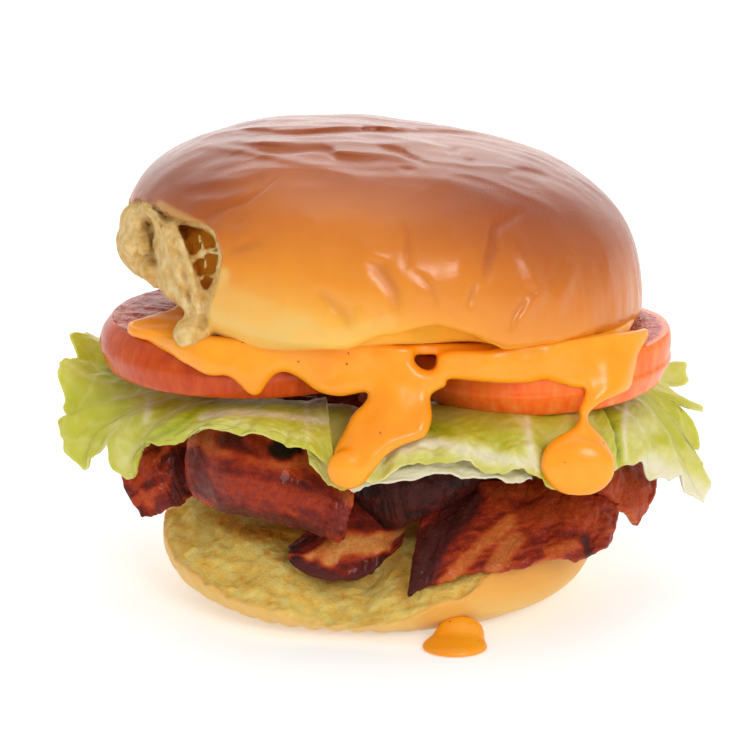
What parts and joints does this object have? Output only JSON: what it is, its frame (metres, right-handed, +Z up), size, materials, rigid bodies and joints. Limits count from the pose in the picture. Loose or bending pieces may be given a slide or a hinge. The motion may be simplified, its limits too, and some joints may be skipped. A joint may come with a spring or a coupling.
{
  "type": "blt sandwich",
  "caption": "Bacon, lettuce and tomato sandwich in a round milk bun, torn at its front left, with thick orange sauce dripping over the layers.",
  "frame": {"origin": "centre of the heel's flat underside, on the surface the sandwich stands on", "axes": "+Z up through the layers, -Y towards the side with the drips, +X to that viewer's right"},
  "size_m": [0.1483, 0.1178, 0.1072],
  "materials": {
    "bun": "satin",
    "tomato": "gloss",
    "bacon": "gloss",
    "lettuce": "satin",
    "sauce": "gloss"
  },
  "bodies": {
    "root": {"crown": "bun", "heel": "bun", "tomato_left": "tomato", "tomato_right": "tomato", "tomato_back": "tomato", "bacon_left": "bacon", "bacon_fold": "bacon", "bacon_curl": "bacon", "bacon_dark": "bacon", "bacon_right": "bacon", "bacon_right_end": "bacon", "bacon_back": "bacon", "bacon_middle": "bacon", "lettuce_left": "lettuce", "lettuce_front": "lettuce", "lettuce_under": "lettuce", "lettuce_right": "lettuce", "lettuce_back": "lettuce", "sauce": "sauce", "sauce_puddle": "sauce"}
  },
  "joints": []
}
